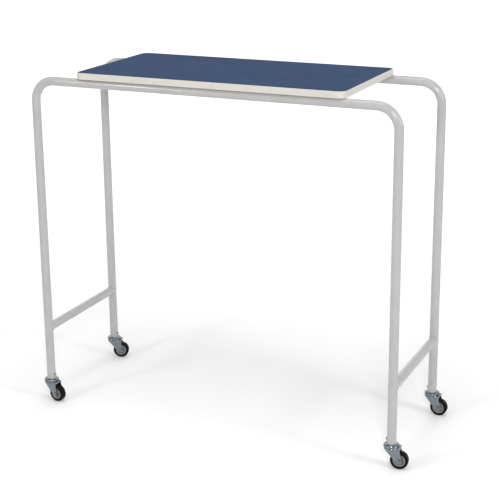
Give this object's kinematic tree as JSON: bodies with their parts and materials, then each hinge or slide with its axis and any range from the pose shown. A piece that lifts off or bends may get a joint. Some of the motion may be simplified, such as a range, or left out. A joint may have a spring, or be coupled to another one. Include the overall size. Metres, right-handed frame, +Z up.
{
  "type": "overbed table",
  "caption": "Overbed table: blue laminated top with a white edge on two bent tube hoops joined by crossbars, standing over a bed on small swivel castors.",
  "frame": {"origin": "on the floor, under the centre of the whole object's box with its castors as they stand at rest", "axes": "+X along the tabletop's length, +Y across it away from the user, +Z up"},
  "size_m": [1.1492, 0.4203, 1.0129],
  "materials": {
    "powder_coated_steel": "light grey-white gloss powder coat",
    "particle_board": "raw pressed particle board",
    "blue_laminate": "satin high-pressure laminate, mid blue",
    "backing_laminate": "matt off-white backing laminate",
    "white_lipping": "white PVC lipping, satin",
    "zinc_plated_steel": "bright zinc plated pressed steel",
    "zinc_screws": "zinc plated fasteners",
    "turned_steel": "turned bright steel",
    "hardened_steel": "polished bearing balls",
    "grey_nylon": "moulded grey nylon",
    "black_rubber": "moulded black rubber"
  },
  "bodies": {
    "root": {"front_hoop": "powder_coated_steel", "rear_hoop": "powder_coated_steel", "left_crossbar": "powder_coated_steel", "right_crossbar": "powder_coated_steel", "tabletop_core": "particle_board", "tabletop_laminate": "blue_laminate", "backing_laminate": "backing_laminate", "edge_lipping": "white_lipping", "tabletop_screws": "zinc_screws", "castor_retaining_screws": "zinc_screws", "front_left_stem": "turned_steel", "front_left_race_cap": "zinc_plated_steel", "front_left_lower_race": "zinc_plated_steel", "front_right_stem": "turned_steel", "front_right_race_cap": "zinc_plated_steel", "front_right_lower_race": "zinc_plated_steel", "rear_left_stem": "turned_steel", "rear_left_race_cap": "zinc_plated_steel", "rear_left_lower_race": "zinc_plated_steel", "rear_right_stem": "turned_steel", "rear_right_race_cap": "zinc_plated_steel", "rear_right_lower_race": "zinc_plated_steel"},
    "front_left_castor": {"front_left_fork": "zinc_plated_steel", "front_left_swivel_balls": "hardened_steel", "front_left_axle_bolt": "zinc_screws", "front_left_axle_nut": "zinc_screws", "front_left_axle_sleeve": "turned_steel"},
    "front_left_wheel": {"front_left_wheel_centre": "grey_nylon", "front_left_tyre": "black_rubber"},
    "front_right_castor": {"front_right_fork": "zinc_plated_steel", "front_right_swivel_balls": "hardened_steel", "front_right_axle_bolt": "zinc_screws", "front_right_axle_nut": "zinc_screws", "front_right_axle_sleeve": "turned_steel"},
    "front_right_wheel": {"front_right_wheel_centre": "grey_nylon", "front_right_tyre": "black_rubber"},
    "rear_left_castor": {"rear_left_fork": "zinc_plated_steel", "rear_left_swivel_balls": "hardened_steel", "rear_left_axle_bolt": "zinc_screws", "rear_left_axle_nut": "zinc_screws", "rear_left_axle_sleeve": "turned_steel"},
    "rear_left_wheel": {"rear_left_wheel_centre": "grey_nylon", "rear_left_tyre": "black_rubber"},
    "rear_right_castor": {"rear_right_fork": "zinc_plated_steel", "rear_right_swivel_balls": "hardened_steel", "rear_right_axle_bolt": "zinc_screws", "rear_right_axle_nut": "zinc_screws", "rear_right_axle_sleeve": "turned_steel"},
    "rear_right_wheel": {"rear_right_wheel_centre": "grey_nylon", "rear_right_tyre": "black_rubber"}
  },
  "joints": [
    {"name": "front_left_swivel", "type": "hinge", "parent": "root", "child": "front_left_castor", "pos_m": [-0.5525, -0.185, 0.0634], "axis": [0, 0, 1], "continuous": true},
    {"name": "front_left_roll", "type": "hinge", "parent": "front_left_castor", "child": "front_left_wheel", "pos_m": [-0.53071, -0.18806, 0.025], "axis": [0.1392, 0.9903, 0], "continuous": true},
    {"name": "front_right_swivel", "type": "hinge", "parent": "root", "child": "front_right_castor", "pos_m": [0.5275, -0.185, 0.0634], "axis": [0, 0, 1], "continuous": true},
    {"name": "front_right_roll", "type": "hinge", "parent": "front_right_castor", "child": "front_right_wheel", "pos_m": [0.54929, -0.18194, 0.025], "axis": [-0.1392, 0.9903, 0], "continuous": true},
    {"name": "rear_left_swivel", "type": "hinge", "parent": "root", "child": "rear_left_castor", "pos_m": [-0.5525, 0.185, 0.0634], "axis": [0, 0, 1], "continuous": true},
    {"name": "rear_left_roll", "type": "hinge", "parent": "rear_left_castor", "child": "rear_left_wheel", "pos_m": [-0.53183, 0.19252, 0.025], "axis": [-0.342, 0.9397, 0], "continuous": true},
    {"name": "rear_right_swivel", "type": "hinge", "parent": "root", "child": "rear_right_castor", "pos_m": [0.5275, 0.185, 0.0634], "axis": [0, 0, 1], "continuous": true},
    {"name": "rear_right_roll", "type": "hinge", "parent": "rear_right_castor", "child": "rear_right_wheel", "pos_m": [0.5495, 0.18462, 0.025], "axis": [0.0175, 0.9998, 0], "continuous": true}
  ]
}
